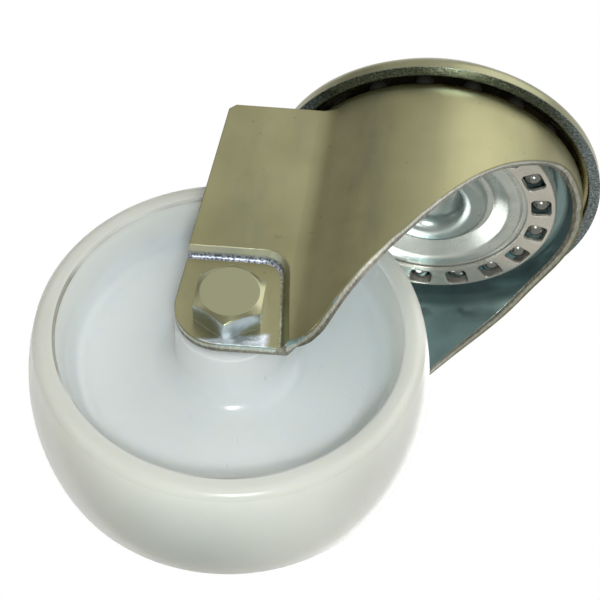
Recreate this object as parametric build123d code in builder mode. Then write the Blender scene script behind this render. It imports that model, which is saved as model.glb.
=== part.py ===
from build123d import *
import os

# Swivel castor with a bolt-hole head, a pressed sheet fork and a one-piece plastic wheel.
# Millimetres. The origin is the centre of the top mounting face, on the swivel axis. +Z is up,
# +X is forward, and the wheel trails towards -X on an axle that runs along Y.

# ---------------------------------------------------------------- driving dimensions
# Swivel head
BOLT_HOLE_R = 6.1        # bore of the hollow kingpin, for an M12 fixing bolt
KINGPIN_WALL = 2.3       # wall of the kingpin where it passes the crown
DISH_SHEET = 2.4         # sheet of the swivel dish
DISH_STEP = 3.7          # drop from the mounting face to the ledge of the dish
RIM_LEDGE = 3.2          # width of that ledge, out to the rim
RIM_DEPTH = 7.9          # lower edge of the rim below the mounting face
DISH_BEND = 0.3          # tight bend radius of the dish, on the hollow side
UPPER_BALL_D = 4.0       # balls of the upper row
LOWER_BALL_D = 5.0       # balls of the lower row
BALL_GAP = 0.2           # running gap between a ball and each race
BALL_COUNT = 18          # balls in each row
UPPER_ROW_R = 28.8       # pitch radius of the upper row
LOWER_ROW_R = 24.1       # pitch radius of the lower row

# Fork
SHEET = 2.2              # sheet of the fork
TRACK_DEPTH = 0.5        # depth of the ball tracks coined in both faces of the crown
CROWN_BEND = 4.4         # outer bend radius between crown and wall
CROWN_LIP = 1.0          # straight lip below the bend, round the open rear
RIM_CLEARANCE = 1.2      # radial clearance between crown wall and dish rim
LEG_BEND = 7.0           # outer bend radius between crown wall and flat leg
LEG_RISE = 0.07          # climb of the leg's top, seat and foot edges towards the front, for each mm
LEG_TOP_RUN = 27.0       # length of the leg's sloping top edge
LEG_REAR = 11.1          # rear edge of the leg, behind the axle
LEG_LEAN = 2.6           # how far that edge leans forward at the top
LEG_FOOT = 9.4           # rear of the foot, below the axle
LEG_CHAMFER = 1.3        # clipped top corner of the leg
FOOT_LENGTH = 16.2       # front corner of the foot, forward of the axle
FOOT_REAR_R = 9.0        # rear corner radius of the foot
FOOT_FRONT_R = 6.0       # front corner radius of the foot
SEAT_PRESS = 2.4         # depth that the axle seat is pressed inwards
SEAT_SLOPE = 0.55        # run of the sloping wall round the seat, for each mm of depth
SEAT_FRONT = 8.5         # front edge of the seat, forward of the axle
SEAT_TOP = 12.0          # top edge of the seat, above the axle
SEAT_FLARE = 2.6         # how far the front edge leans forward at the leg's foot
SEAT_CORNER = 4.0        # corner radius of the seat
SEAT_EDGE_R = 0.9        # rounding of the pressed edges of the seat
FRONT_DEPTH = 13.7       # lower edge of the crown wall at the front, below the mounting face
FRONT_EDGE = [(19.5, -1.0), (31.9, 17.2), (48.3, 36.7), (59.0, 46.0)]  # leg's front edge, from the axle

# Wheel and axle
WHEEL_R = 40.0
WHEEL_WIDTH = 30.0
TREAD_CROWN = 2.2        # how far the tread falls away at its edges
SHOULDER_R = 2.0         # rounding between tread and side face
RIM_INNER_R = 34.0       # mouth of the recess in each side face
RIM_DRAFT = 2.4          # how far the recess wall draws in towards the web
WEB = 10.0               # thickness of the web
WEB_FILLET = 4.5         # fillet at the foot of both recess walls
HUB_R = 10.6
HUB_DRAFT = 0.5
HUB_LENGTH = 36.6
HUB_PLAY = 0.5           # end play of the hub at each leg
TUBE_R = 6.0             # axle tube
TUBE_RUNNING = 0.08      # running clearance of the hub on the tube
BOLT_R = 3.95            # M8 axle bolt
BOLT_CLEARANCE = 0.2     # bolt in the tube and in the legs
BOLT_FLATS = 13.0
BOLT_HEAD = 5.3
BOLT_END = 4.0           # thread past the nut
BOLT_CHAMFER = 0.8       # chamfer at the bolt's tip
HEX_CHAMFER = 1.0        # fall of the chamfer at the corners of head and nut
NUT_HEIGHT = 8.0
NUT_COLLAR = 2.4         # round collar of the nut, over its nylon ring
COLLAR_INSET = 0.7       # how far that collar stands inside the flats
INSERT_WALL = 1.3        # radial thickness of the nylon ring
INSERT_DEPTH = 0.5       # how far the ring lies below the nut's end
THREAD_FIT = 0.05        # play drawn between bolt and nut

TRAIL = 36.5             # axle behind the swivel axis
AXLE_DEPTH = 64.5        # axle below the mounting face

# Lower race and cage
RACE_SHEET = 2.0
RACE_DISH = 2.3          # depth of the dished race
RACE_BEND = 0.6          # bend radius on the race's concave sides
RACE_MARGIN = 1.3        # flat of the race past the kingpin's collar
RACE_RING_IN = 6.8       # inner edge of the race's low ring, inside the lower row's pitch radius
RACE_STEP_IN = 4.7       # where the ring steps up to the ball lip, inside that radius
RACE_STEP = 0.7
RACE_PLAY = 0.5          # gap between the race and the crown above it
LIP_OVERLAP = 2.2        # how far the race's lip lies inside the ball row's pitch radius
COLLAR_R = 12.3          # rolled collar of the kingpin
COLLAR_HEIGHT = 2.2
COLLAR_EDGE_R = 1.5      # rounding of the collar's outer edge
COLLAR_FLARE = 3.4       # rounding from the bore out to the collar's face
KINGPIN_NECK = 1.0       # how far the kingpin narrows where the race sits
KINGPIN_FLARE = 1.0      # flare of the kingpin into the dish
SHOULDER_HEIGHT = 2.2    # shoulder that holds the dish on the kingpin
SHOULDER_WIDTH = 2.6
KINGPIN_CROWN_GAP = 0.8  # radial gap between kingpin and crown
CAGE_SHEET = 0.8
CAGE_BEND = 0.2          # bend radius on the cage's concave side
CAGE_GAP = 0.25          # gap between the race's lip and the cage below it
CAGE_INNER = 3.0         # inner edge of the cage, inside the ball pitch radius
CAGE_OUTER = 3.3         # outer edge of the cage, outside it
CAGE_SKIRT = 2.3         # height of the cage's turned-up skirt
WINDOW_LENGTH = 4.4      # radial size of a window
WINDOW_WIDTH = 5.0       # size of a window along the row
WINDOW_CORNER = 1.1
WINDOW_START = 180 / BALL_COUNT  # the first window stands half a pitch from straight ahead

# ---------------------------------------------------------------- levels and radii that follow
UPPER_TRACK_R = UPPER_BALL_D / 2 + BALL_GAP
LOWER_TRACK_R = LOWER_BALL_D / 2 + BALL_GAP
UPPER_ROW_Z = -DISH_SHEET - UPPER_TRACK_R
CROWN_TOP_Z = UPPER_ROW_Z - UPPER_TRACK_R + TRACK_DEPTH
CROWN_UNDER_Z = CROWN_TOP_Z - SHEET
LOWER_ROW_Z = CROWN_UNDER_Z + TRACK_DEPTH - LOWER_TRACK_R
WALL_TOP_Z = CROWN_TOP_Z - CROWN_BEND

DISH_STEP_R = UPPER_ROW_R + UPPER_TRACK_R + DISH_SHEET
DISH_R = DISH_STEP_R + RIM_LEDGE
CROWN_R = DISH_R - DISH_SHEET - RIM_CLEARANCE

KINGPIN_R = BOLT_HOLE_R + KINGPIN_WALL
RACE_TOP_Z = CROWN_UNDER_Z - RACE_PLAY
RACE_SEAT_Z = RACE_TOP_Z - RACE_SHEET
RACE_LOW_Z = RACE_SEAT_Z - RACE_DISH
RACE_LIP_Z = RACE_LOW_Z + RACE_STEP
RACE_LIP_R = LOWER_ROW_R - LIP_OVERLAP
RACE_BORE_R = KINGPIN_R - KINGPIN_NECK
CAGE_LOW_Z = RACE_LIP_Z - CAGE_GAP - CAGE_SHEET

AXLE = (-TRAIL, 0, -AXLE_DEPTH)
TUBE_LENGTH = HUB_LENGTH + 2 * HUB_PLAY
SEAT_INNER_Y = TUBE_LENGTH / 2
SEAT_OUTER_Y = SEAT_INNER_Y + SHEET
LEG_OUTER_Y = SEAT_OUTER_Y + SEAT_PRESS
BELOW = 2 * AXLE_DEPTH   # reach of trimming solids, past the foot and past the wheel
BEHIND = 2 * TRAIL + WHEEL_R

# Section plane through the axle: local x runs along the axle, local y is the radius.
AXLE_SECTION = Plane(origin=AXLE, x_dir=(0, 1, 0), z_dir=(1, 0, 0))
AXLE_LINE = Axis(AXLE, (0, 1, 0))


def sheet_section(points, radii, thickness):
    """Section of pressed sheet: the path is its outer side, and the sheet lies to the right of it."""
    with BuildSketch() as section:
        with BuildLine():
            FilletPolyline(*points, radius=radii)
            offset(amount=thickness, side=Side.RIGHT, kind=Kind.INTERSECTION)
        make_face()
    return section.sketch


def ball_row(name, diameter, pitch_radius, height, start_angle):
    """Write one row of balls, a node for each ball."""
    for number, place in enumerate(PolarLocations(pitch_radius, BALL_COUNT, start_angle), start=1):
        with BuildPart() as ball:
            with Locations(Location((place.position.X, place.position.Y, height))):
                Sphere(diameter / 2)
        save(ball, f"{name}_{number:02d}")


def save(piece, name):
    """Label a finished piece and write its STEP file."""
    piece.part.label = name
    export_step(piece.part, f"parts/{name}.step")


os.makedirs("parts", exist_ok=True)

# ---------------------------------------------------------------- swivel dish
# Flat mounting face, a step that holds the upper balls in, a ledge and a turned-down rim.
with BuildPart() as swivel_dish:
    with BuildSketch(Plane.XZ):
        dish_path = [(KINGPIN_R, 0), (DISH_STEP_R, 0), (DISH_STEP_R, -DISH_STEP),
                     (DISH_R, -DISH_STEP), (DISH_R, -RIM_DEPTH)]
        outer_bend = DISH_SHEET + DISH_BEND
        add(sheet_section(dish_path, [outer_bend, DISH_BEND, outer_bend], DISH_SHEET))
    revolve(axis=Axis.Z)
    chamfer(swivel_dish.edges().filter_by(GeomType.CIRCLE).group_by(Axis.Z)[-1].sort_by(SortBy.RADIUS)[0],
            length=KINGPIN_FLARE)
save(swivel_dish, "swivel_dish")

# ---------------------------------------------------------------- kingpin
# Hollow rivet: flared into the dish, with a shoulder under it, and rolled over below the race.
with BuildPart() as kingpin:
    with BuildSketch(Plane.XZ) as kingpin_section:
        with BuildLine():
            shoulder_r = KINGPIN_R + SHOULDER_WIDTH
            shoulder_z = -DISH_SHEET - SHOULDER_HEIGHT
            collar_z = RACE_SEAT_Z - COLLAR_HEIGHT
            Polyline((BOLT_HOLE_R, 0), (KINGPIN_R + KINGPIN_FLARE, 0), (KINGPIN_R, -KINGPIN_FLARE),
                     (KINGPIN_R, -DISH_SHEET), (shoulder_r, -DISH_SHEET), (shoulder_r, shoulder_z),
                     (KINGPIN_R, shoulder_z), (KINGPIN_R, RACE_TOP_Z), (RACE_BORE_R, RACE_TOP_Z),
                     (RACE_BORE_R, RACE_SEAT_Z), (COLLAR_R, RACE_SEAT_Z), (COLLAR_R, collar_z),
                     (BOLT_HOLE_R, collar_z), close=True)
        make_face()
        for corner_r, rounding in ((COLLAR_R, COLLAR_EDGE_R), (BOLT_HOLE_R, COLLAR_FLARE)):
            fillet(kingpin_section.vertices().sort_by_distance((corner_r, collar_z))[0], radius=rounding)
    revolve(axis=Axis.Z)
save(kingpin, "kingpin")

# ---------------------------------------------------------------- fork
# One sheet. The outer surface comes from a block: a round crown that runs into two flat legs in plan,
# trimmed to the side outline. Its walls are then thickened inwards, so that every cut edge stands
# square to the sheet. The seats are pressed into the legs, and the crown is turned about the swivel axis.
with BuildSketch(Plane.XZ) as side_outline:
    with BuildLine():
        front_out = CROWN_R + SHEET
        slope_start = (-TRAIL - LEG_REAR + LEG_LEAN + LEG_TOP_RUN, WALL_TOP_Z)
        rear_top = (slope_start[0] - LEG_TOP_RUN, WALL_TOP_Z - LEG_RISE * LEG_TOP_RUN)
        rear_foot = (-TRAIL - LEG_REAR, -AXLE_DEPTH - LEG_FOOT)
        front_foot = (-TRAIL + FOOT_LENGTH, rear_foot[1] + LEG_RISE * (LEG_REAR + FOOT_LENGTH))
        edge = [(x - TRAIL, z - AXLE_DEPTH) for x, z in FRONT_EDGE]
        front_low = (CROWN_R, -FRONT_DEPTH)
        Polyline((front_out, -FRONT_DEPTH), (front_out, WALL_TOP_Z), slope_start, rear_top, rear_foot,
                 front_foot, edge[0])
        Spline(*edge, front_low, tangents=((edge[0][0] - front_foot[0], edge[0][1] - front_foot[1]), (1, 0)))
        Line(front_low, (front_out, -FRONT_DEPTH))
    make_face()
    fillet(side_outline.vertices().sort_by_distance(rear_foot)[0], radius=FOOT_REAR_R)
    fillet(side_outline.vertices().sort_by_distance(front_foot)[0], radius=FOOT_FRONT_R)
    chamfer(side_outline.vertices().sort_by_distance(rear_top)[0], length=LEG_CHAMFER)

with BuildPart() as outer_block:
    with BuildSketch(Plane.XY.offset(-BELOW)) as keyhole:
        Circle(CROWN_R)
        with Locations((-BEHIND / 2, 0)):
            Rectangle(BEHIND, 2 * LEG_OUTER_Y)
        leg_start_x = -(CROWN_R**2 - LEG_OUTER_Y**2) ** 0.5
        fillet(keyhole.vertices().filter_by_position(Axis.X, leg_start_x - 0.1, leg_start_x + 0.1),
               radius=LEG_BEND)
    extrude(amount=BELOW)
    extrude(side_outline.sketch, amount=CROWN_R, both=True, mode=Mode.INTERSECT)


def seat_block(side, seat_y, outer_y, grow):
    """Block with sloping walls and rounded edges, from the axle seat out to outer_y on one side."""
    with BuildPart() as block:
        for y in (outer_y, seat_y):
            with BuildSketch(Plane.XZ.offset(-side * y)) as outline:
                with BuildLine():
                    front = SEAT_FRONT + SEAT_FLARE
                    corners = [(-BEHIND, SEAT_TOP - LEG_RISE * BEHIND), (SEAT_FRONT, SEAT_TOP + LEG_RISE * SEAT_FRONT),
                               (front, -LEG_FOOT), (front, -BELOW), (-BEHIND, -BELOW)]
                    Polyline(*[(x - TRAIL, z - AXLE_DEPTH) for x, z in corners], close=True)
                make_face()
                fillet(outline.vertices().group_by(Axis.Y)[-1].sort_by(Axis.X)[-1], radius=SEAT_CORNER)
                offset(amount=grow + SEAT_SLOPE * (y - seat_y))
        loft()
        seat_face = block.faces().sort_by(Axis.Y)[0 if side > 0 else -1]
        fillet(seat_face.edges(), radius=SEAT_EDGE_R)
    return block.part


with BuildPart() as fork:
    round_walls = [face for face in outer_block.faces().filter_by(GeomType.CYLINDER)
                   if face.axis_of_rotation.is_parallel(Axis.Z)]
    for wall in round_walls + outer_block.faces().filter_by(Axis.Y):
        thicken(wall, amount=-SHEET)
    for side in (-1, 1):
        back_growth = SHEET * ((1 + SEAT_SLOPE**2) ** 0.5 - SEAT_SLOPE)
        with BuildPart(mode=Mode.PRIVATE) as seat_back:
            add(seat_block(side, SEAT_INNER_Y, LEG_OUTER_Y - SHEET / 2, back_growth))
            extrude(side_outline.sketch, amount=CROWN_R, both=True, mode=Mode.INTERSECT)
        add(seat_back.part)
        add(seat_block(side, SEAT_OUTER_Y, LEG_OUTER_Y + SHEET, 0), mode=Mode.SUBTRACT)
    with BuildSketch(Plane.XZ):
        crown_path = [(KINGPIN_R + KINGPIN_CROWN_GAP, CROWN_TOP_Z), (CROWN_R, CROWN_TOP_Z),
                      (CROWN_R, WALL_TOP_Z - CROWN_LIP)]
        add(sheet_section(crown_path, [CROWN_BEND], SHEET))
        for row_r, row_z, track_r in ((UPPER_ROW_R, UPPER_ROW_Z, UPPER_TRACK_R),
                                      (LOWER_ROW_R, LOWER_ROW_Z, LOWER_TRACK_R)):
            with Locations((row_r, row_z)):
                Circle(track_r, mode=Mode.SUBTRACT)
    revolve(axis=Axis.Z)
    with BuildSketch(Plane.XZ):
        with Locations((-TRAIL, -AXLE_DEPTH)):
            Circle(BOLT_R + BOLT_CLEARANCE)
    extrude(amount=2 * LEG_OUTER_Y, both=True, mode=Mode.SUBTRACT)
save(fork, "fork")

# ---------------------------------------------------------------- lower race, cage and balls
with BuildPart() as lower_race:
    with BuildSketch(Plane.XZ):
        race_path = [(RACE_LIP_R, RACE_LOW_Z), (LOWER_ROW_R - RACE_RING_IN, RACE_LOW_Z),
                     (COLLAR_R + RACE_MARGIN, RACE_SEAT_Z), (RACE_BORE_R, RACE_SEAT_Z)]
        add(sheet_section(race_path, [RACE_SHEET + RACE_BEND, RACE_BEND], RACE_SHEET))
        with BuildLine():
            step_r = LOWER_ROW_R - RACE_STEP_IN
            Polyline((step_r, RACE_LOW_Z), (step_r + RACE_STEP, RACE_LIP_Z),
                     (LOWER_ROW_R, RACE_LIP_Z), (LOWER_ROW_R, RACE_LOW_Z), close=True)
        make_face(mode=Mode.SUBTRACT)
        with Locations((LOWER_ROW_R, LOWER_ROW_Z)):
            Circle(LOWER_TRACK_R, mode=Mode.SUBTRACT)
    revolve(axis=Axis.Z)
save(lower_race, "lower_race")

with BuildPart() as ball_cage:
    with BuildSketch(Plane.XZ):
        cage_out = LOWER_ROW_R + CAGE_OUTER
        cage_path = [(cage_out, CAGE_LOW_Z + CAGE_SHEET + CAGE_SKIRT), (cage_out, CAGE_LOW_Z),
                     (LOWER_ROW_R - CAGE_INNER, CAGE_LOW_Z)]
        add(sheet_section(cage_path, [CAGE_SHEET + CAGE_BEND], CAGE_SHEET))
    revolve(axis=Axis.Z)
    with BuildSketch(Plane.XY.offset(CAGE_LOW_Z)):
        with PolarLocations(LOWER_ROW_R, BALL_COUNT, WINDOW_START):
            RectangleRounded(WINDOW_LENGTH, WINDOW_WIDTH, WINDOW_CORNER)
    extrude(amount=CAGE_SHEET, mode=Mode.SUBTRACT)
save(ball_cage, "ball_cage")

ball_row("upper_ball", UPPER_BALL_D, UPPER_ROW_R, UPPER_ROW_Z, 0)
ball_row("lower_ball", LOWER_BALL_D, LOWER_ROW_R, LOWER_ROW_Z, WINDOW_START)

# ---------------------------------------------------------------- wheel
# One moulding: crowned tread, rounded shoulders, a recess in each side down to the web, and the hub.
with BuildPart() as wheel:
    with BuildSketch(AXLE_SECTION) as wheel_section:
        half = WHEEL_WIDTH / 2
        hub_end = HUB_LENGTH / 2
        bore = TUBE_R + TUBE_RUNNING
        tread_edge = WHEEL_R - TREAD_CROWN
        rim_root = (WEB / 2, RIM_INNER_R - RIM_DRAFT)
        hub_root = (WEB / 2, HUB_R + HUB_DRAFT)
        with BuildLine():
            ThreePointArc((-half, tread_edge), (0, WHEEL_R), (half, tread_edge))
            for end in (-1, 1):
                Polyline((end * half, tread_edge), (end * half, RIM_INNER_R), (end * rim_root[0], rim_root[1]),
                         (end * hub_root[0], hub_root[1]), (end * hub_end, HUB_R), (end * hub_end, bore))
            Line((-hub_end, bore), (hub_end, bore))
        make_face()
        for end in (-1, 1):
            for corner, radius in (((half, tread_edge), SHOULDER_R), (rim_root, WEB_FILLET),
                                   (hub_root, WEB_FILLET)):
                nearest = wheel_section.vertices().sort_by_distance((end * corner[0], corner[1]))[0]
                fillet(nearest, radius=radius)
    revolve(axis=AXLE_LINE)
save(wheel, "wheel")

# ---------------------------------------------------------------- axle tube, bolt, nut
with BuildPart() as axle_tube:
    with BuildSketch(Plane.XZ):
        with Locations((-TRAIL, -AXLE_DEPTH)):
            Circle(TUBE_R)
            Circle(BOLT_R + BOLT_CLEARANCE, mode=Mode.SUBTRACT)
    extrude(amount=TUBE_LENGTH / 2, both=True)
save(axle_tube, "axle_tube")


def hexagon(inner_y, outer_y, domed):
    """Hexagon on the axle from one level to the other, with its outer corners chamfered, or both ends."""
    cone = 3**0.5                    # radial run of a 30 degree chamfer for each mm of fall
    face_r = BOLT_FLATS / cone - HEX_CHAMFER * cone
    clear_r = BOLT_FLATS / cone + HEX_CHAMFER * cone
    fall = 2 * HEX_CHAMFER if outer_y > inner_y else -2 * HEX_CHAMFER
    inner_end = [(inner_y + fall, clear_r), (inner_y, face_r)] if domed else [(inner_y, clear_r)]
    with BuildPart() as block:
        with BuildSketch(Plane.XZ.offset(-inner_y)):
            with Locations((-TRAIL, -AXLE_DEPTH)):
                RegularPolygon(BOLT_FLATS / 2, 6, major_radius=False, rotation=30)
        extrude(amount=inner_y - outer_y)
        with BuildSketch(AXLE_SECTION):
            with BuildLine():
                Polyline((outer_y, 0), (outer_y, face_r), (outer_y - fall, clear_r), *inner_end,
                         (inner_y, 0), close=True)
            make_face()
        revolve(axis=AXLE_LINE, mode=Mode.INTERSECT)
    return block.part


BOLT_TIP_Y = SEAT_OUTER_Y + NUT_HEIGHT + BOLT_END
with BuildPart() as axle_bolt:
    add(hexagon(-SEAT_OUTER_Y, -SEAT_OUTER_Y - BOLT_HEAD, False))
    with BuildSketch(Plane.XZ.offset(SEAT_OUTER_Y)):
        with Locations((-TRAIL, -AXLE_DEPTH)):
            Circle(BOLT_R)
    extrude(amount=-(SEAT_OUTER_Y + BOLT_TIP_Y))
    chamfer(axle_bolt.edges().filter_by(GeomType.CIRCLE).sort_by(Axis.Y)[-1], length=BOLT_CHAMFER)
save(axle_bolt, "axle_bolt")

NUT_END_Y = SEAT_OUTER_Y + NUT_HEIGHT
INSERT_Y = NUT_END_Y - NUT_COLLAR
INSERT_END_Y = NUT_END_Y - INSERT_DEPTH
INSERT_R = BOLT_R + INSERT_WALL
THREAD_R = BOLT_R + THREAD_FIT
with BuildPart() as axle_nut:
    add(hexagon(SEAT_OUTER_Y, INSERT_Y, True))
    with BuildSketch(AXLE_SECTION) as collar_section:
        collar_r = BOLT_FLATS / 2 - COLLAR_INSET
        with BuildLine():
            Polyline((INSERT_Y, 0), (INSERT_Y, collar_r), (NUT_END_Y, collar_r), (NUT_END_Y, 0), close=True)
        make_face()
        fillet(collar_section.vertices().sort_by_distance((NUT_END_Y, collar_r))[0], radius=NUT_COLLAR / 2)
    revolve(axis=AXLE_LINE)
    with BuildSketch(AXLE_SECTION):
        with BuildLine():
            Polyline((SEAT_OUTER_Y, 0), (SEAT_OUTER_Y, THREAD_R), (INSERT_Y, THREAD_R), (INSERT_Y, INSERT_R),
                     (INSERT_END_Y, INSERT_R), (NUT_END_Y, INSERT_R - INSERT_DEPTH), (NUT_END_Y, 0), close=True)
        make_face()
    revolve(axis=AXLE_LINE, mode=Mode.SUBTRACT)
save(axle_nut, "axle_nut")

with BuildPart() as nut_insert:
    with BuildSketch(Plane.XZ.offset(-INSERT_Y)):
        with Locations((-TRAIL, -AXLE_DEPTH)):
            Circle(INSERT_R)
            Circle(THREAD_R, mode=Mode.SUBTRACT)
    extrude(amount=INSERT_Y - INSERT_END_Y)
save(nut_insert, "nut_insert")
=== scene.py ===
import math

import bpy
import bmesh
from mathutils import Matrix, Vector


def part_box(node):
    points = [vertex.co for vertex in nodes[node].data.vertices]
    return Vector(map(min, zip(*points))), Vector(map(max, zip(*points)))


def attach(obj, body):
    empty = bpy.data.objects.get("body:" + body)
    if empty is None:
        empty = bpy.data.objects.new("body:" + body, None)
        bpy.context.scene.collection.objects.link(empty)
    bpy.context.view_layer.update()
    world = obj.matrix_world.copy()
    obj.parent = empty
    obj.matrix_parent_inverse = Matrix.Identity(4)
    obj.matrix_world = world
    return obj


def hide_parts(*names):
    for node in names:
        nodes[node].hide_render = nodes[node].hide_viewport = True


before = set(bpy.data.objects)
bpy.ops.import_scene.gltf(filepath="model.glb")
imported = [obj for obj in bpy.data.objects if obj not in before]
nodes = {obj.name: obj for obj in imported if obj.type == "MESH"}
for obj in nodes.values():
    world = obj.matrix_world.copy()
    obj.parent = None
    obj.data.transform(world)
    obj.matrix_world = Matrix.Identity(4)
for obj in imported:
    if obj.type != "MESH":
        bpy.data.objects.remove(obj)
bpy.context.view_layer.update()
scene = bpy.context.scene

TRAIL = 0.0365           # axle behind the swivel axis
AXLE_Z = -0.0645
WHEEL_R = 0.040
MOUTH_R = 0.034          # mouth of the recess in the wheel's side
FLOOR_Z = AXLE_Z - WHEEL_R
SHEET = 0.0022           # sheet of the fork
CROWN_R = 0.033
LEG_OUTER_Y = 0.0234     # outer face of a leg, and of the seat pressed into it
SEAT_OUTER_Y = 0.021
LEG_START_X = -0.0245    # where the round crown has run into the flat legs
SEAT_FRONT_X = -0.0265
SEAT_TOP_Z = -0.0535
BOLT_R = 0.00395
BOLT_HEAD = 0.0053
BOLT_CHAMFER = 0.0008
THREAD_PITCH = 0.00125
THREAD_DEPTH = 0.0006


# ---------------------------------------------------------------- node helpers
def srgb(r, g, b):
    """Linear colour from 8-bit display values."""
    def lin(v):
        v /= 255
        return v / 12.92 if v <= 0.04045 else ((v + 0.055) / 1.055) ** 2.4
    return (lin(r), lin(g), lin(b), 1.0)


class Graph:
    """Short calls for building one material."""

    def __init__(self, name):
        self.material = bpy.data.materials.new(name)
        self.material.use_nodes = True
        self.tree = self.material.node_tree
        self.shader = self.tree.nodes["Principled BSDF"]

    @classmethod
    def around(cls, material):
        """The same short calls for a material that is already there."""
        graph = cls.__new__(cls)
        graph.material, graph.tree = material, material.node_tree
        return graph

    def node(self, kind, inputs=None, **settings):
        made = self.tree.nodes.new(kind)
        for key, value in settings.items():
            setattr(made, key, value)
        for key, value in (inputs or {}).items():
            self.feed(made.inputs[key], value)
        return made

    def feed(self, socket, value):
        if hasattr(value, "is_output"):
            self.tree.links.new(value, socket)
        else:
            socket.default_value = value

    def put(self, **values):
        names = {"color": "Base Color", "metal": "Metallic", "rough": "Roughness", "normal": "Normal",
                 "sss": "Subsurface Weight", "sss_scale": "Subsurface Scale", "sss_radius": "Subsurface Radius",
                 "specular": "Specular IOR Level", "coat": "Coat Weight", "coat_rough": "Coat Roughness",
                 "aniso": "Anisotropic", "ior": "IOR"}
        for key, value in values.items():
            self.feed(self.shader.inputs[names[key]], value)

    def place(self):
        return self.node("ShaderNodeTexCoord").outputs["Object"]

    def stretched(self, scale):
        """Object coordinates scaled along each axis, which draws streaks along the axis with a low scale."""
        return self.node("ShaderNodeMapping", {"Vector": self.place(), "Scale": scale}).outputs["Vector"]

    def noise(self, scale, detail=4.0, rough=0.5, vector=None):
        made = self.node("ShaderNodeTexNoise", {"Vector": vector or self.place(), "Scale": scale,
                                                 "Detail": detail, "Roughness": rough})
        return made.outputs["Fac"]

    def voronoi(self, scale, feature="F1"):
        made = self.node("ShaderNodeTexVoronoi", {"Vector": self.place(), "Scale": scale}, feature=feature)
        return made.outputs["Distance"]

    def ramp(self, value, stops):
        made = self.node("ShaderNodeValToRGB", {"Fac": value})
        elements = made.color_ramp.elements
        while len(elements) < len(stops):
            elements.new(0.5)
        for element, (position, color) in zip(elements, stops):
            element.position = position
            element.color = color if len(color) == 4 else (*color, 1)
        return made.outputs["Color"]

    def band(self, value, low, high, out_low=0.0, out_high=1.0):
        made = self.node("ShaderNodeMapRange", {"Value": value, "From Min": low, "From Max": high,
                                                 "To Min": out_low, "To Max": out_high})
        return made.outputs["Result"]

    def math(self, operation, a, b=0.0, c=0.0):
        made = self.node("ShaderNodeMath", operation=operation)
        for socket, value in zip(made.inputs, (a, b, c)):
            self.feed(socket, value)
        return made.outputs[0]

    def mix(self, factor, a, b):
        made = self.node("ShaderNodeMix", data_type="RGBA")
        for index, value in ((0, factor), (6, a), (7, b)):
            self.feed(made.inputs[index], value)
        return made.outputs[2]

    def pick(self, switch, no, yes):
        """One of two values: a switch of 0 gives the first, and 1 the second."""
        return self.node("ShaderNodeMix", {0: switch, 2: no, 3: yes}, data_type="FLOAT").outputs[0]

    def bump(self, height, distance, strength=1.0, base=None):
        inputs = {"Height": height, "Distance": distance, "Strength": strength}
        if base:
            inputs["Normal"] = base
        return self.node("ShaderNodeBump", inputs).outputs["Normal"]

    def soft_edges(self, radius):
        """Normals that round off sharp edges by a small radius."""
        return self.node("ShaderNodeBevel", {"Radius": radius}, samples=4).outputs["Normal"]

    def split(self, vector):
        return self.node("ShaderNodeSeparateXYZ", {"Vector": vector}).outputs

    def dot(self, a, b):
        made = self.node("ShaderNodeVectorMath", operation="DOT_PRODUCT")
        self.feed(made.inputs[0], a)
        self.feed(made.inputs[1], b)
        return made.outputs["Value"]


def dress(material, *names):
    """Give CAD nodes or pieces one material."""
    for name in names:
        piece = nodes[name] if isinstance(name, str) else name
        piece.data.materials.clear()
        piece.data.materials.append(material)


# ---------------------------------------------------------------- metals
EDGE_R = 0.00035         # rounding of sharp edges in the shading
INSIDE_DULL = 0.25       # how much less metallic the inner faces of the fork look
STAIN = srgb(112, 118, 100)
SPOT = srgb(84, 80, 62)


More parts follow.
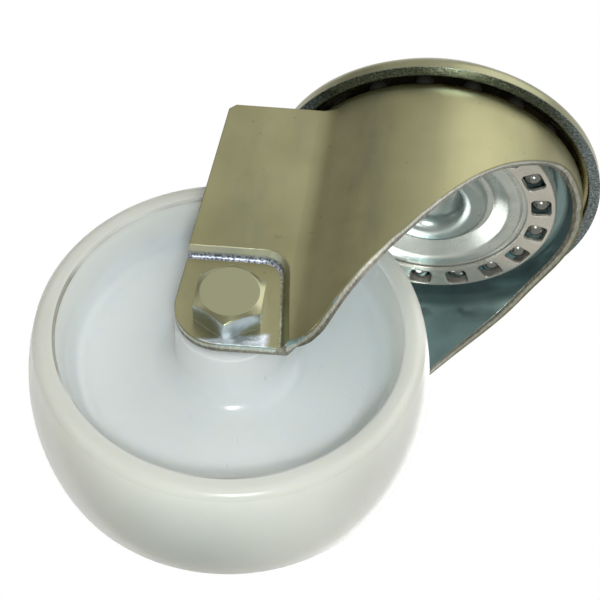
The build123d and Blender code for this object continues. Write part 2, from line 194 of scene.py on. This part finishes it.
def plated(name, light, dark, roughness, edge=None, inside_reflection_tones=None, face_tone=None, pressed=None,
           metal=1.0):
    """Zinc-plated steel: drifting passivation, faint drawing streaks, and faces picked by place and facing that get
    other tones: the real colour of cut edges and of the bolt's ends, and painted light and reflections elsewhere.
    """
    g = Graph(name)
    drift = g.noise(38, 3, 0.5)
    cloud = g.noise(120, 4, 0.6)
    drawn = g.noise(150, 4, 0.6, g.stretched((1, 1, 0.06)))
    tone = g.math("ADD", g.math("MULTIPLY", drift, 0.62),
                  g.math("ADD", g.math("MULTIPLY", cloud, 0.2), g.math("MULTIPLY", drawn, 0.18)))
    color = g.ramp(tone, [(0.36, dark), (0.62, light)])
    stain = g.band(g.noise(75, 4, 0.6, g.stretched((1, 1, 0.30))), 0.55, 0.70)
    color = g.mix(g.math("MULTIPLY", stain, 0.38), color, STAIN)
    spot = g.band(g.noise(520, 2, 0.5), 0.71, 0.75)
    color = g.mix(g.math("MULTIPLY", spot, 0.25), color, SPOT)
    rough = g.band(cloud, 0.3, 0.7, roughness - 0.04, roughness + 0.06)
    coord = g.node("ShaderNodeTexCoord").outputs
    where, face = g.split(coord["Object"]), g.split(coord["Normal"])
    # Painted reflection: faces inside the fork get a paler teal tone, standing in for light reflected in there.
    if inside_reflection_tones:
        mask = inside_mask(g, coord, where, face)
        color = g.mix(mask, color, g.ramp(tone, [(0.36, inside_reflection_tones[1]), (0.62, inside_reflection_tones[0])]))
        rough = g.math("SUBTRACT", rough, g.math("MULTIPLY", mask, 0.13))
        metal = g.math("SUBTRACT", metal, g.math("MULTIPLY", mask, INSIDE_DULL))
    if face_tone:
        color = g.mix(face_tone[0](g, where, face), color, face_tone[1])
    if edge:
        color = g.mix(edge[0](g, where, face), color, edge[1](g, where, color))
    # The pressed seat's tones are painted highlights and reflections.
    if pressed:
        mask, tone_of = pressed
        color = g.mix(mask(g, where, face), color, tone_of(g, where, color))
    fine = g.noise(1700, 2, 0.5)
    scratch = g.noise(420, 3, 0.7, g.stretched((1, 1, 0.12)))
    height = g.math("ADD", g.math("MULTIPLY", scratch, 0.5), g.math("MULTIPLY", fine, 0.25))
    g.put(color=color, metal=metal, rough=rough, normal=g.bump(height, 0.00003, 0.35, g.soft_edges(EDGE_R)))
    return g.material


def inside_mask(g, coord, where, face):
    """Faces of the fork that look towards the swivel axis, and the underside of its crown."""
    radial = g.node("ShaderNodeCombineXYZ", {"X": where[0], "Y": where[1]}).outputs[0]
    inner = g.math("LESS_THAN", g.dot(coord["Normal"], radial), -0.0002)
    under = g.math("MULTIPLY", g.math("LESS_THAN", face[2], -0.5), g.math("GREATER_THAN", where[2], -0.0118))
    return g.math("MAXIMUM", inner, under)


def radius_of(g, where):
    """Distance from the swivel axis."""
    squares = g.math("ADD", g.math("MULTIPLY", where[0], where[0]), g.math("MULTIPLY", where[1], where[1]))
    return g.math("SQRT", squares)


def fork_edge(g, where, face):
    """Cut faces of the fork's sheet: below the crown they face up or down, or square to the rear."""
    lean = g.math("GREATER_THAN", g.math("ABSOLUTE", face[2]), 0.12)
    rear = g.math("LESS_THAN", face[0], -0.9)
    behind = g.math("LESS_THAN", where[0], -0.0445)
    cut = g.math("MAXIMUM", lean, g.math("MULTIPLY", rear, behind))
    low = g.math("LESS_THAN", where[2], -0.0112)
    seat = g.math("MULTIPLY", g.math("GREATER_THAN", g.math("ABSOLUTE", face[1]), 0.25),
                  g.math("LESS_THAN", where[0], -0.024))
    return g.math("MULTIPLY", g.math("MULTIPLY", cut, low), g.math("SUBTRACT", 1.0, seat))


def across_sheet(g, where):
    """Place in the fork's thickness at a cut edge: 0 at the inner face, 1 at the outer one."""
    across_leg = g.band(g.math("ABSOLUTE", where[1]), LEG_OUTER_Y - SHEET, LEG_OUTER_Y)
    in_seat = g.math("MULTIPLY", g.math("LESS_THAN", where[0], SEAT_FRONT_X), g.math("LESS_THAN", where[2], SEAT_TOP_Z))
    across_seat = g.band(g.math("ABSOLUTE", where[1]), SEAT_OUTER_Y - SHEET, SEAT_OUTER_Y)
    across_crown = g.band(radius_of(g, where), CROWN_R - SHEET, CROWN_R)
    on_crown = g.math("GREATER_THAN", where[0], LEG_START_X)
    return g.pick(on_crown, g.pick(in_seat, across_leg, across_seat), across_crown)


def sheared(g, where, color):
    """Cut edge of sheet steel: dull where it broke, bright where it was shorn, and the face's colour at the roll."""
    streak = g.noise(2300, 3, 0.6, g.stretched((1, 0.25, 1)))
    broken = g.ramp(streak, [(0.40, srgb(112, 110, 98)), (0.62, srgb(150, 146, 132))])
    shorn = g.ramp(streak, [(0.40, srgb(178, 179, 168)), (0.62, srgb(208, 210, 200))])
    depth = g.math("ADD", across_sheet(g, where), g.band(g.noise(300), 0.3, 0.7, -0.08, 0.08))
    shade = g.mix(g.band(depth, 0.34, 0.44), broken, shorn)
    return g.mix(g.band(depth, 0.72, 0.84), shade, color)


def sparkling(g, where, color):
    """Bluish sheared edge of the dish with fine bright points that are painted glints."""
    speck = g.noise(1900, 3, 0.65)
    point = g.band(g.noise(2600, 1, 0.5), 0.66, 0.72)
    shade = g.ramp(speck, [(0.38, srgb(92, 104, 110)), (0.62, srgb(164, 176, 178))])
    return g.mix(point, shade, srgb(232, 238, 238))


def seat_wall(g, where, face):
    """Sloping wall round the pressed-in seat."""
    aslant = g.math("ABSOLUTE", face[1])
    sloping = g.math("MULTIPLY", g.math("GREATER_THAN", aslant, 0.25), g.math("LESS_THAN", aslant, 0.985))
    near = g.math("MULTIPLY", g.math("LESS_THAN", where[0], -0.0235), g.math("LESS_THAN", where[2], -0.048))
    below_leg = g.math("LESS_THAN", g.math("ABSOLUTE", where[1]), LEG_OUTER_Y - 0.00004)
    wall = g.math("MULTIPLY", g.math("MULTIPLY", sloping, near), below_leg)
    return g.math("MAXIMUM", wall, g.math("MULTIPLY", painted_foot_highlight(g, where), g.math("GREATER_THAN", aslant, 0.985)))


def painted_foot_highlight(g, where):
    """Strip of the seat's face with a painted highlight, where the sheet rolls into its foot."""
    wavy = g.math("ADD", where[2], g.band(g.noise(260), 0.3, 0.7, -0.0003, 0.0003))
    edge = g.math("SUBTRACT", wavy, g.math("MULTIPLY", g.math("ADD", where[0], TRAIL), 0.25))
    strip = g.math("MULTIPLY", g.band(edge, -0.0718, -0.0709, 1, 0),
                   g.math("MULTIPLY", g.band(where[0], -0.0450, -0.0425), g.band(where[0], -0.0290, -0.0275, 1, 0)))
    on_seat = g.math("LESS_THAN", g.math("ABSOLUTE", where[1]), SEAT_OUTER_Y + 0.0001)
    return g.math("MULTIPLY", strip, on_seat)


def painted_seat_light(g, where, color):
    """Painted light on the pressed seat: a pale painted highlight where the sheet turns into the wall, and a bluish
    painted reflection at the foot of it.
    """
    depth = g.band(g.math("ABSOLUTE", where[1]), SEAT_OUTER_Y, LEG_OUTER_Y)
    speck = g.noise(2100, 2, 0.6)
    painted_foot_reflection = g.ramp(speck, [(0.40, srgb(92, 96, 110)), (0.62, srgb(190, 196, 206))])
    front = g.ramp(speck, [(0.38, srgb(130, 129, 102)), (0.66, srgb(172, 173, 150))])
    on_top = g.band(where[0], -0.0285, -0.0275, 1, 0)
    foot = g.mix(on_top, front, painted_foot_reflection)
    tone = g.mix(g.band(depth, 0.30, 0.55), foot, g.mix(on_top, srgb(170, 168, 138), srgb(214, 212, 186)))
    shine = g.ramp(g.noise(650, 3, 0.6, g.stretched((0.5, 1, 1))),
                   [(0.38, srgb(160, 168, 172)), (0.60, srgb(236, 242, 246))])
    return g.mix(painted_foot_highlight(g, where), tone, shine)


def dish_edge(g, where, face):
    """Sheared lower edge of the dish's rim."""
    return g.math("MULTIPLY", g.math("LESS_THAN", where[2], -0.00785), g.math("LESS_THAN", face[2], -0.5))


def end_faces(g, where, face):
    """Flat ends of the bolt head and the nut, with the chamfers round them."""
    return g.math("GREATER_THAN", g.math("ABSOLUTE", face[1]), 0.4)


def dish_underside(g, where, face):
    """Faces of the dish that look down, above its rim's edge, where light is painted into the shade."""
    return g.math("MULTIPLY", g.math("GREATER_THAN", where[2], -0.0075), g.math("LESS_THAN", face[2], -0.3))


fork_metal = plated("fork_zinc", srgb(150, 147, 113), srgb(133, 130, 97), 0.34,
                    edge=(fork_edge, sheared), pressed=(seat_wall, painted_seat_light),
                    inside_reflection_tones=(srgb(160, 184, 184), srgb(120, 146, 148)))
# Painted light: the dish's downward faces above its rim get a paler tone, lifting the shade in the gap over the crown.
dish_metal = plated("dish_zinc", srgb(150, 149, 120), srgb(128, 128, 100), 0.26,
                    edge=(dish_edge, sparkling),
                    face_tone=(dish_underside, srgb(196, 188, 146)))
race_metal = plated("race_zinc", srgb(212, 216, 210), srgb(184, 190, 184), 0.26, metal=0.65)
pin_metal = plated("kingpin_zinc", srgb(176, 186, 182), srgb(140, 152, 150), 0.28, metal=0.8)
cage_metal = plated("cage_zinc", srgb(222, 218, 208), srgb(196, 192, 182), 0.24, metal=0.65)
# Painted reflection: the bolt's and nut's flats and shank are bluish white; their end faces and chamfers keep the olive
# zinc.
bolt_metal = plated("bolt_zinc", srgb(226, 236, 240), srgb(198, 208, 212), 0.22,
                    face_tone=(end_faces, srgb(150, 150, 120)))
dress(fork_metal, "fork")
dress(dish_metal, "swivel_dish")
dress(race_metal, "lower_race")
dress(pin_metal, "kingpin")
dress(cage_metal, "ball_cage")
dress(bolt_metal, "axle_bolt", "axle_nut")
dress(race_metal, "axle_tube")

def ball_material(name, color, metal, rough):
    g = Graph(name)
    g.put(color=color, metal=metal, rough=rough, normal=g.bump(g.noise(700, 3), 0.00001, 0.3))
    return g.material


dress(ball_material("ball_steel", srgb(150, 152, 150), 1.0, 0.12), *[name for name in nodes if "lower_ball_" in name])
# Grease and painted shade: the upper balls are near black, for the dark gap under the dish.
dress(ball_material("ball_grease_and_shade", srgb(22, 21, 14), 0.0, 0.8), *[name for name in nodes if "upper_ball_" in name])


# ---------------------------------------------------------------- plastics
def wheel_plastic():
    """White polyamide that lets light in: faint clouds, fine scuffs, tones by zone that paint light and shade, and a
    darker line along parts of the recess's mouth.
    """
    g = Graph("wheel_polyamide")
    cloud = g.noise(28, 4, 0.55)
    scuff = g.noise(240, 5, 0.7)
    grain = g.noise(2600, 2, 0.5)
    patch = g.noise(22, 2, 0.5)
    where = g.split(g.place())
    # The recess, tread and rim face are one white, given different tones: painted light and shade.
    recess = g.ramp(cloud, [(0.3, srgb(222, 227, 228)), (0.7, srgb(229, 234, 235))])
    tread = g.ramp(cloud, [(0.3, srgb(217, 219, 214)), (0.7, srgb(225, 227, 222))])
    rim_face = g.ramp(cloud, [(0.3, srgb(208, 210, 203)), (0.7, srgb(216, 218, 212))])
    aside = g.math("ADD", where[0], TRAIL)
    above = g.math("SUBTRACT", where[2], AXLE_Z)
    radius = g.math("SQRT", g.math("ADD", g.math("MULTIPLY", aside, aside), g.math("MULTIPLY", above, above)))
    outside = g.mix(g.math("GREATER_THAN", g.math("ABSOLUTE", where[1]), 0.0135), tread, rim_face)
    color = g.mix(g.band(radius, 0.0318, 0.0350), recess, outside)
    from_mouth = g.math("ABSOLUTE", g.math("SUBTRACT", radius, MOUTH_R))
    at_face = g.math("GREATER_THAN", g.math("ABSOLUTE", where[1]), 0.0142)
    line = g.math("MULTIPLY", g.math("LESS_THAN", from_mouth, 0.00032), at_face)
    mouth_darkening = g.math("MULTIPLY", line, g.band(patch, 0.44, 0.54))
    scratch = g.band(g.noise(900, 2, 0.5, g.stretched((1, 0.2, 0.3))), 0.70, 0.76)
    worn = g.math("MULTIPLY", scratch, g.band(patch, 0.45, 0.60))
    color = g.mix(g.math("MULTIPLY", worn, 0.25), color, srgb(176, 174, 164))
    # A darker line along parts of the recess's mouth.
    color = g.mix(g.math("MULTIPLY", mouth_darkening, 0.8), color, srgb(120, 116, 100))
    g.put(color=color, rough=g.band(cloud, 0.3, 0.7, 0.22, 0.27), sss=1.0, sss_scale=0.009,
          sss_radius=(1.0, 0.92, 0.80), specular=0.5,
          normal=g.bump(g.math("ADD", grain, g.math("MULTIPLY", scuff, 0.8)), 0.00003, 0.22,
                        g.soft_edges(0.00045)))
    return g.material


dress(wheel_plastic(), "wheel")

g = Graph("nut_nylon")
g.put(color=srgb(206, 206, 196), rough=0.5, normal=g.bump(g.noise(1800, 2), 0.00002, 0.3))
dress(g.material, "nut_insert")


# ---------------------------------------------------------------- bolt with its thread
def threaded_bolt():
    """The CAD bolt's head on a shank whose end carries an M8 thread."""
    mesh = nodes["axle_bolt"].data.copy()
    lowest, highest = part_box("axle_bolt")
    head_top = lowest.y + BOLT_HEAD
    thread_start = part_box("axle_nut")[0].y - 0.001
    tip = highest.y
    work = bmesh.new()
    work.from_mesh(mesh)
    bmesh.ops.delete(work, geom=[v for v in work.verts if v.co.y > head_top + 0.0005], context="VERTS")
    around, rows = 48, 12
    stations = [head_top, thread_start]
    step = THREAD_PITCH / rows
    stations += [thread_start + step * n for n in range(1, int((tip - thread_start) / step))] + [tip]
    rings = []
    for y in stations:
        ring = []
        for n in range(around):
            angle = 2 * math.pi * n / around
            turn = ((y - thread_start) / THREAD_PITCH - n / around) % 1
            depth = THREAD_DEPTH * (1 - abs(2 * turn - 1)) if y > thread_start else 0
            radius = min(BOLT_R - depth, BOLT_R - BOLT_CHAMFER + (tip - y))
            ring.append(work.verts.new((-TRAIL + radius * math.cos(angle), y, AXLE_Z + radius * math.sin(angle))))
        rings.append(ring)
    for low, high in zip(rings, rings[1:]):
        for n in range(around):
            m = (n + 1) % around
            work.faces.new((low[n], low[m], high[m], high[n]))
    work.faces.new(rings[-1])
    bmesh.ops.recalc_face_normals(work, faces=work.faces)
    work.to_mesh(mesh)
    work.free()
    mesh.shade_smooth()
    mesh.set_sharp_from_angle(angle=math.radians(35))
    piece = bpy.data.objects.new("threaded_bolt", mesh)
    scene.collection.objects.link(piece)
    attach(piece, "fork")
    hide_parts("axle_bolt")
    dress(bolt_metal, piece)


threaded_bolt()


# ---------------------------------------------------------------- stage
def emission_world(background, ambient):
    """White for what the camera, gloss and glass see, and a plain level for everything else."""
    world = bpy.data.worlds.new("studio")
    scene.world = world
    world.use_nodes = True
    tree = world.node_tree
    tree.nodes.clear()
    path = tree.nodes.new("ShaderNodeLightPath")
    seen = None
    for ray in ("Is Camera Ray", "Is Glossy Ray", "Is Transmission Ray"):
        if seen is None:
            seen = path.outputs[ray]
            continue
        either = tree.nodes.new("ShaderNodeMath")
        either.operation = "MAXIMUM"
        tree.links.new(seen, either.inputs[0])
        tree.links.new(path.outputs[ray], either.inputs[1])
        seen = either.outputs[0]
    shaders = []
    for color, strength in ((ambient, 1.0), (background, 1.0)):
        shader = tree.nodes.new("ShaderNodeBackground")
        shader.inputs["Color"].default_value = (*color, 1)
        shader.inputs["Strength"].default_value = strength
        shaders.append(shader)
    mix = tree.nodes.new("ShaderNodeMixShader")
    tree.links.new(seen, mix.inputs[0])
    tree.links.new(shaders[0].outputs[0], mix.inputs[1])
    tree.links.new(shaders[1].outputs[0], mix.inputs[2])
    out = tree.nodes.new("ShaderNodeOutputWorld")
    tree.links.new(mix.outputs[0], out.inputs["Surface"])


emission_world((1, 1, 1), (0.30, 0.287, 0.255))


def floor_material():
    """Pale floor, seen from above only, which lets light through from beneath."""
    g = Graph("floor")
    g.put(color=srgb(240, 240, 238), rough=0.7)
    clear = g.node("ShaderNodeBsdfTransparent").outputs[0]
    back = g.node("ShaderNodeNewGeometry").outputs["Backfacing"]
    shadow = g.node("ShaderNodeLightPath").outputs["Is Shadow Ray"]
    mix = g.node("ShaderNodeMixShader", {0: g.math("MAXIMUM", back, shadow), 1: g.shader.outputs[0], 2: clear})
    g.tree.links.new(mix.outputs[0], g.tree.nodes["Material Output"].inputs["Surface"])
    return g.material


bpy.ops.mesh.primitive_plane_add(size=3.0, location=(0, 0, FLOOR_Z - 0.0002))
floor = bpy.context.object
floor.name = "floor"
floor.data.materials.append(floor_material())


def lamp(name, position, target, size, watts, color=(1, 1, 1)):
    data = bpy.data.lights.new(name, "AREA")
    data.shape = "DISK"
    data.size = size
    data.energy = watts
    data.color = color
    made = bpy.data.objects.new(name, data)
    made.visible_camera = False
    scene.collection.objects.link(made)
    made.location = position
    made.rotation_euler = (Vector(target) - Vector(position)).to_track_quat("-Z", "Y").to_euler()
    return made


CENTRE = (-0.02, 0, -0.05)
lamp("key", (0.42, -0.55, 0.50), CENTRE, 0.85, 2.15)
lamp("fill", (0.75, -0.45, -0.25), CENTRE, 0.8, 0.7, (1.0, 0.99, 0.95))
lamp("flash", (0.05, -0.42, -0.42), CENTRE, 0.07, 1.55, (0.95, 0.99, 1.0))
lamp("back", (0.1, 0.9, 0.5), CENTRE, 0.9, 2.0)
lamp("bounce", (0.020, -0.008, -0.062), (0.0, 0.012, -0.012), 0.02, 0.004)
glint = lamp("glint", (-0.008, 0.021, -0.027), (-0.006, 0.008, -0.0135), 0.018, 0.003)
glint.visible_diffuse = False


def reflection_card(name, position, target, size, shade):
    """A darker surface that only glossy reflections see."""
    mesh = bpy.data.meshes.new(name)
    half = size / 2
    mesh.from_pydata([(-half, -half, 0), (half, -half, 0), (half, half, 0), (-half, half, 0)], [], [(0, 1, 2, 3)])
    card = bpy.data.objects.new(name, mesh)
    scene.collection.objects.link(card)
    card.location = position
    card.rotation_euler = (Vector(target) - Vector(position)).to_track_quat("Z", "Y").to_euler()
    for ray in ("camera", "diffuse", "shadow", "transmission", "volume_scatter"):
        setattr(card, "visible_" + ray, False)
    material = bpy.data.materials.new(name)
    material.use_nodes = True
    tree = material.node_tree
    tree.nodes.clear()
    graph = Graph.around(material)
    from_middle = graph.node("ShaderNodeVectorMath", {0: graph.place()}, operation="LENGTH").outputs["Value"]
    color = graph.mix(graph.band(from_middle, 0.10 * size, 0.46 * size), (*shade, 1), (1, 1, 1, 1))
    glow = graph.node("ShaderNodeEmission", {"Color": color})
    output = graph.node("ShaderNodeOutputMaterial")
    tree.links.new(glow.outputs[0], output.inputs["Surface"])
    mesh.materials.append(material)


reflection_card("left_card", (-0.50, -0.24, 0.40), (0, 0, -0.02), 0.95, (0.42, 0.41, 0.38))

camera_data = bpy.data.cameras.new("camera")
camera_data.sensor_width = 36.0
camera_data.lens = 91.32
camera_data.clip_start = 0.01
camera = bpy.data.objects.new("camera", camera_data)
scene.collection.objects.link(camera)
RIGHT, UP, BACK = (0.9902, -0.0344, 0.1354), (-0.1277, -0.6165, 0.7770), (0.0567, -0.7866, -0.6148)
camera.matrix_world = Matrix((
    (RIGHT[0], UP[0], BACK[0], -0.0070),
    (RIGHT[1], UP[1], BACK[1], -0.25096),
    (RIGHT[2], UP[2], BACK[2], -0.24006),
    (0, 0, 0, 1)))
scene.camera = camera

scene.view_settings.view_transform = "Standard"
